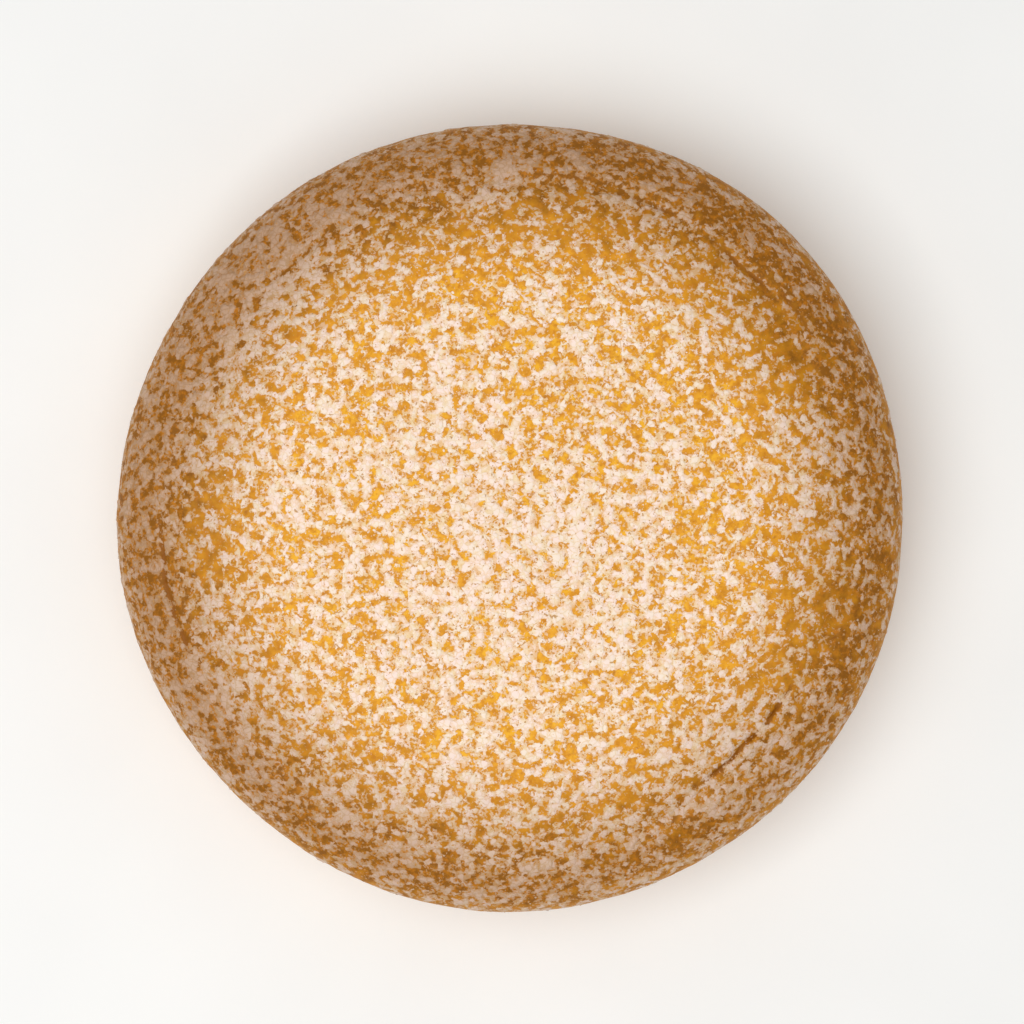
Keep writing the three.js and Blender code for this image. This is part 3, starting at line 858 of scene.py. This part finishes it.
def finishJam():
    # Set raspberry jam: deep clear red under a wet gloss, darker in patches, with lumps of pulp.
    material, tree, place = newMaterial("setRaspberryJam")
    pulp = addNode(tree, "ShaderNodeTexNoise", {
        "Vector": place, "Scale": 1 / jamLook["pulpSize"], "Detail": 3.0, "Roughness": 0.6})
    red = addNode(tree, "ShaderNodeValToRGB", {0: pulp}, stops=jamLook["reds"])
    wet = addNode(tree, "ShaderNodeMapRange", {"Value": pulp, "To Min": 0.16, "To Max": 0.34})
    bump = addNode(tree, "ShaderNodeBump", {
        "Strength": 0.5, "Distance": jamLook["pulpHeight"] * mm, "Height": pulp})
    return endMaterial(material, {
        "Base Color": red, "Roughness": wet, "Normal": bump, "IOR": 1.4, "Subsurface Weight": 0.2,
        "Subsurface Radius": (3.0, 0.4, 0.3), "Subsurface Scale": 0.6 * mm,
        "Specular IOR Level": 0.35})


creamLook = {
    "streakSize": 3.0,
    "frothSize": 0.6,
    "frothHeight": 0.15,
    "ivories": ((0.3, "#F5E2B8"), (0.5, "#FAEDCE"), (0.7, "#FDF5E2")),
}


def finishCream():
    # Whipped buttercream: pale ivory, satin, with light passing a little way in.
    material, tree, place = newMaterial("whippedButtercream")
    streak, froth = (
        addNode(tree, "ShaderNodeTexNoise", {
            "Vector": place, "Scale": 1 / creamLook[size], "Detail": 3.0, "Roughness": 0.6})
        for size in ("streakSize", "frothSize"))
    ivory = addNode(tree, "ShaderNodeValToRGB", {0: streak}, stops=creamLook["ivories"])
    bump = addNode(tree, "ShaderNodeBump", {
        "Strength": 0.5, "Distance": creamLook["frothHeight"] * mm, "Height": froth})
    return endMaterial(material, {
        "Base Color": ivory, "Roughness": 0.5, "Normal": bump, "IOR": 1.46, "Subsurface Weight": 0.3,
        "Subsurface Radius": (1.0, 0.8, 0.5), "Subsurface Scale": 1.0 * mm})


def finishSmallBits(name, dark, light, size, roughness):
    # Sugar lumps, seeds and crumbs: plain, their tone varying from bit to bit, darker as the ground under
    # them browns and darkens; on the sugar specks at the rim that is painted shade.
    material, tree, place = newMaterial(name)
    tone = addNode(tree, "ShaderNodeTexNoise", {"Vector": place, "Scale": 1 / size, "Detail": 2.0})
    colour = addNode(tree, "ShaderNodeValToRGB", {0: tone}, stops=((0.35, dark), (0.65, light)))
    brownedAndShaded = addNode(tree, "ShaderNodeAttribute", out="Fac", attribute_name="brownedAndShaded")
    # painted shade on the specks over the crust's rim
    colour = addNode(tree, "ShaderNodeMix", {0: brownedAndShaded, 6: colour, 7: "#B28C66"}, out=2,
                     data_type="RGBA")
    return endMaterial(material, {
        "Base Color": colour, "Roughness": roughness, "IOR": 1.45, "Specular IOR Level": 0.3})


# The upper sponge and the sugar on it.
crustSkin = {
    "Swell Size": 5.5, "Swell Height": 0.22, "Wrinkle Size": 1.4, "Wrinkle Height": 0.09,
    "Pore Spacing": 2.6, "Pore Radius": 0.55, "Pore Depth": 0.25,
}
sugarPatches = {
    "Margin": 0.055, "Full Depth": 0.1, "Thin": 0.01, "Thick": 0.16, "Lump Size": 0.8,
    "Lump Height": 0.1, "Sunk": 0.2, "Edge Sunk": 0.09,
}
sugarCells = 380  # faces across the disc that the patches are cut from
sugarSpecks = {
    "Per Square Centimetre": 9.0, "Smallest": 0.25, "Largest": 0.7, "Length": 1.2, "Height": 0.5,
    "Sunk": 0.12, "Lumpiness": 0.12, "Seed": 5,
}
dustedCrust = finishDusted("icingSugarOnGoldenCrust", 0.0)
heapedSugar = finishDusted("icingSugarHeaped", 0.01)
skinTree = growSkin("crustSkin", dustedCrust)

spongeTop = applyTrees(crustDisc("sponge_top", crust["cells"]), (skinTree, crustSkin))
settle(spongeTop, "dusted_crust", "upper_sponge")

icingSugar = applyTrees(
    crustDisc("icing_sugar", sugarCells), (skinTree, crustSkin), (growSugar(heapedSugar), sugarPatches))
settle(icingSugar, "dusted_crust")

lumpSugar = finishSmallBits("icingSugarLump", "#F0D9BE", "#F8EADB", 2.0, 0.9)
strewOver(spongeTop, "sugar_specks", "dusted_crust", "dusted", lumpSugar, sugarSpecks)


# The lower sponge.
lower = {
    "baseEdge": 3.6,  # rounded edge that the tin's corner leaves
    "edgeFullness": 2.7,
    "shoulder": 4.0,  # rounded top edge
    "flatTop": 9.0,  # how far in over its flat top the piece runs, before a fan closes it
    "step": 0.46,  # spacing of the rows up its side
    "baseRings": (40.0, 20.0, 10.0, 6.0),  # rings of its flat base, by how far in they lie
    "edgeRows": 13,
    "topRows": 32,
    "plainBase": 0.3,  # height above its base where its relief begins
    "fullRelief": 2.0,
    "brownedAndShaded": 0.1,
    "baseBrowned": 0.45,  # how much browner its lower edge is
    "topBrowned": 0.4,
    "brownedWidth": 5.0,
}
lowerSkin = {
    "Swell Size": 7.0, "Swell Height": 0.5, "Wrinkle Size": 1.6, "Wrinkle Height": 0.2,
    "Pore Spacing": 1.9, "Pore Radius": 0.8, "Pore Depth": 0.45,
}
shoulderLength = lower["shoulder"] * np.pi / 2


def overShoulder(angle, run, lift):
    # a point on the lower sponge's top, run past the end of its flat, then lifted off the surface
    turn = np.clip(run / lower["shoulder"], 0, np.pi / 2)
    reach = lower["shoulder"] + lift
    radius = lowerRadius(angle) - lower["shoulder"] + np.minimum(0, run) + reach * np.sin(turn)
    height = lowerTop - lower["shoulder"] + reach * np.cos(turn) - np.maximum(0, run - shoulderLength)
    return radius, height


def ringsOf(angle, parts):
    # parts are (radius, height) pairs of arrays, rows x columns
    radius = np.concatenate([np.broadcast_to(r, (len(h), angle.shape[1])) for r, h in parts])
    height = np.concatenate([np.broadcast_to(h, (len(h), angle.shape[1])) for r, h in parts])
    return np.stack([radius * np.cos(angle), radius * np.sin(angle), height], 2)


def column(*values):
    return np.concatenate([np.atleast_1d(v) for v in values])[:, None]


around = np.linspace(0, 2 * np.pi, cake["columns"], endpoint=False)[None, :]

side = lowerRadius(around)
turns = column(np.linspace(0, np.pi / 2, lower["edgeRows"]))
power = 2 / lower["edgeFullness"]
flatBase = column(*lower["baseRings"])
sideHeights = column(np.arange(
    lower["baseEdge"] + lower["step"], lowerTop - lower["shoulder"], lower["step"]))
runs = column(np.linspace(shoulderLength, -lower["flatTop"], lower["topRows"]))
lowerRings = ringsOf(around, [
    (side - lower["baseEdge"] - flatBase, flatBase * 0 + lowerBase),
    (side - lower["baseEdge"] * (1 - np.sin(turns) ** power),
     lowerBase + lower["baseEdge"] * (1 - np.cos(turns).clip(0) ** power)),
    (side + 0 * sideHeights, sideHeights),
    overShoulder(around, runs, 0.0)])
aboveBase = lowerRings[:, :, 2] - lowerBase
belowTop = lowerTop - lowerRings[:, :, 2]
lowerMeasures = {
    "relief": easeBetween(lower["plainBase"], lower["fullRelief"], aboveBase),
    "brownedAndShaded": (lower["brownedAndShaded"]
                + lower["baseBrowned"] * easeBetween(lower["brownedWidth"], 0, aboveBase)
                + lower["topBrowned"] * easeBetween(lower["brownedWidth"], 1, belowTop)),
}
spongeSide = finishSpongeSide()
spongeBottom = applyTrees(
    latheDisc("sponge_bottom", lowerRings, lowerMeasures),
    (growSkin("lowerSkin", spongeSide), lowerSkin))
settle(spongeBottom, "sponge_side", "lower_sponge")


# The raspberry jam on it, squeezed out over the shoulder.
jam = {
    "inner": -10.0,  # where its even middle ends, measured from the end of the sponge's flat
    "nose": 0.5,  # how far its rounded edge stands out
    "noseHeight": 0.4,  # height of that edge, as a share of the thickness
    "sunk": 0.1,  # how far the jam has soaked into the sponge
    "edgeRun": 0.9,  # how far past the end of the sponge's flat its edge lies
    "edgeWander": 1.1,
    "edgeInmost": -2.0,
    "fullness": 0.8,  # power of the curve that it thickens by behind its edge
    "reliefStart": 5.0,  # distance behind its edge where its relief begins to fade
    "reliefEnd": 8.0,
    "underRows": 10,
    "noseRows": 8,
    "topRows": 26,
}
jamDrips = [  # where in degrees, width in degrees, length
    (-74, 9, 5.5), (-38, 11, 3.5), (12, 8, 4.5), (58, 12, 3.5),
    (117, 9, 6.0), (171, 11, 4.0), (224, 8, 4.5),
]
jamSkin = {
    "Swell Size": 2.6, "Swell Height": 0.5, "Wrinkle Size": 0.9, "Wrinkle Height": 0.08,
    "Pore Spacing": 3.0, "Pore Radius": 0.0, "Pore Depth": 0.0,
}
jamLift = jamBase - lowerTop
jamThickness = jamTop - jamBase
edgeRun = jam["edgeRun"] + jam["edgeWander"] * ripple(around, (5, 8, 13), 0.6)
for place, width, length in jamDrips:
    edgeRun = edgeRun + length * bell(degreesOutside(around, place, place), width)
edgeRun = np.maximum(edgeRun, jam["edgeInmost"])
noseLift = jamLift + jam["noseHeight"] * jamThickness
shares = column(np.linspace(0, 1, jam["underRows"]))
turns = column(np.linspace(0, np.pi / 2, jam["noseRows"])[1:])
inward = column(np.linspace(0, 1, jam["topRows"])[1:] ** 2) * (edgeRun + jam["nose"] - jam["inner"])
fullness = jam["noseHeight"] + (1 - jam["noseHeight"]) * (1 - np.exp(-inward ** jam["fullness"]))
jamRings = ringsOf(around, [
    overShoulder(around, jam["inner"] + shares * (edgeRun - jam["inner"]), -jam["sunk"]),
    overShoulder(around, edgeRun + jam["nose"] * np.sin(turns),
                 (noseLift + jam["sunk"]) * (1 - np.cos(turns)) - jam["sunk"]),
    overShoulder(around, edgeRun + jam["nose"] - inward, jamLift + jamThickness * fullness)])
jamShown = np.concatenate([np.zeros_like(shares + around), np.ones_like(turns + around),
                           1 - easeBetween(jam["reliefStart"], jam["reliefEnd"], inward)])
jamMaterial = finishJam()
jamLayer = applyTrees(
    latheDisc("jam_layer", jamRings, {"relief": jamShown}),
    (growSkin("jamSkin", jamMaterial), jamSkin))
settle(jamLayer, "jam", "raspberry_jam")

jamSeeds = {
    "Per Square Centimetre": 4.0, "Smallest": 0.9, "Largest": 1.25, "Length": 1.5, "Height": 0.7,
    "Sunk": 0.2, "Lumpiness": 0.0, "Seed": 11,
}
seedMaterial = finishSmallBits("raspberrySeed", "#9A4A1C", "#C98644", 3.0, 0.35)
strewOver(jamLayer, "jam_seeds", "jam", "relief", seedMaterial, jamSeeds)


# The buttercream under the upper sponge.
cream = {
    "inset": 2.4,
    "edgeWander": 1.1,
    "edgeRuffle": 0.5,
    "edgeDepth": 4.4,  # how far in its rounded edge starts
    "edgeFullness": 1.4,
    "overlap": 0.2,  # pressed into the layers above and below it
    "rows": 34,
}
creamSkin = {
    "Swell Size": 4.0, "Swell Height": 0.9, "Wrinkle Size": 1.2, "Wrinkle Height": 0.16,
    "Pore Spacing": 3.4, "Pore Radius": 0.6, "Pore Depth": 0.35,
}
creamReach = (cake["radius"] - cream["inset"] + cream["edgeWander"] * ripple(around, (4, 9, 14), 1.3)
              + cream["edgeRuffle"] * ripple(around, (21, 31), 0.4))
turns = column(np.linspace(-np.pi / 2, np.pi / 2, cream["rows"]))
creamLow = jamTop - cream["overlap"]
creamHigh = upperBase + cream["overlap"]
creamRings = ringsOf(around, [
    (creamReach - cream["edgeDepth"] * (1 - np.cos(turns)).clip(0) ** cream["edgeFullness"],
     (creamLow + creamHigh) / 2 + (creamHigh - creamLow) / 2 * np.sin(turns))])
creamMaterial = finishCream()
creamLayer = applyTrees(
    latheDisc("buttercream_layer", creamRings, {"relief": np.cos(turns) + 0 * around}),
    (growSkin("creamSkin", creamMaterial), creamSkin))
settle(creamLayer, "buttercream", "buttercream")

# A few crumbs of the bake that cling to the lower side.
sideCrumbs = {
    "Per Square Centimetre": 0.7, "Smallest": 0.5, "Largest": 1.9, "Length": 1.2, "Height": 0.8,
    "Sunk": 0.25, "Lumpiness": 0.5, "Seed": 23,
}
crumbMaterial = finishSmallBits("spongeCrumb", "#C98A35", "#EDC678", 1.5, 0.85)
strewOver(spongeBottom, "side_crumbs", "sponge_side", "relief", crumbMaterial, sideCrumbs)


# A pale floor, soft light from above and a little to the front left, and a long lens straight overhead.
studio = {
    "floorSize": 6000,
    "floorDrop": 0.1,  # keeps the floor clear of the cake's flat base
    "floorMottle": 60.0,
    "keyPlace": (-150, -110, 860),
    "keySize": 620,
    "keyPower": 5.0,  # watts
    "worldStrength": 0.45,
}
cameraView = {
    "pixels": 1024,
    "centre": (511.3, 517.5),  # the pixel of the render that the cake's middle falls on
    "perMillimetre": 5.105,  # pixels at the height of the crust
    "lens": 100.0,
    "sensor": 36.0,
    "farthest": 10.0,  # metres
}


def finishFloor():
    # Matt pale laminate, faintly uneven.
    material, tree, place = newMaterial("paleLaminate")
    tone = addNode(tree, "ShaderNodeTexNoise", {"Vector": place, "Scale": 1 / studio["floorMottle"]})
    colour = addNode(tree, "ShaderNodeValToRGB", {0: tone}, stops=((0.3, "#F6F6F4"), (0.7, "#FAFAF8")))
    return endMaterial(material, {"Base Color": colour, "Roughness": 0.8})


half = studio["floorSize"] / 2 * mm
floorMesh = bpy.data.meshes.new("floor")
floorMesh.from_pydata([(x, y, -studio["floorDrop"] * mm) for x, y in (
    (-half, -half), (half, -half), (half, half), (-half, half))], [], [(0, 1, 2, 3)])
floorMesh.materials.append(finishFloor())
floor = bpy.data.objects.new("floor", floorMesh)
bpy.context.scene.collection.objects.link(floor)

keyLight = bpy.data.lights.new("key", "AREA")
keyLight.size = studio["keySize"] * mm
keyLight.energy = studio["keyPower"]
key = bpy.data.objects.new("key", keyLight)
key.location = [v * mm for v in studio["keyPlace"]]
key.rotation_euler = (-key.location).to_track_quat("-Z", "Y").to_euler()
bpy.context.scene.collection.objects.link(key)

world = bpy.data.worlds.new("studio")
bpy.context.scene.world = world
world.use_nodes = True
backdrop = world.node_tree.nodes["Background"].inputs
backdrop["Color"].default_value = (1.0, 1.0, 1.0, 1.0)
backdrop["Strength"].default_value = studio["worldStrength"]

shownWidth = cameraView["pixels"] / cameraView["perMillimetre"]
cameraData = bpy.data.cameras.new("overhead")
cameraData.lens = cameraView["lens"]
cameraData.sensor_width = cameraView["sensor"]
cameraData.clip_end = cameraView["farthest"]
camera = bpy.data.objects.new("overhead", cameraData)
middle = cameraView["pixels"] / 2
camera.location = [
    (middle - cameraView["centre"][0]) / cameraView["perMillimetre"] * mm,
    (cameraView["centre"][1] - middle) / cameraView["perMillimetre"] * mm,
    (crownTop + shownWidth * cameraView["lens"] / cameraView["sensor"]) * mm]
bpy.context.scene.collection.objects.link(camera)
bpy.context.scene.camera = camera
bpy.context.scene.view_settings.view_transform = "Standard"
print("floor, light and camera set")
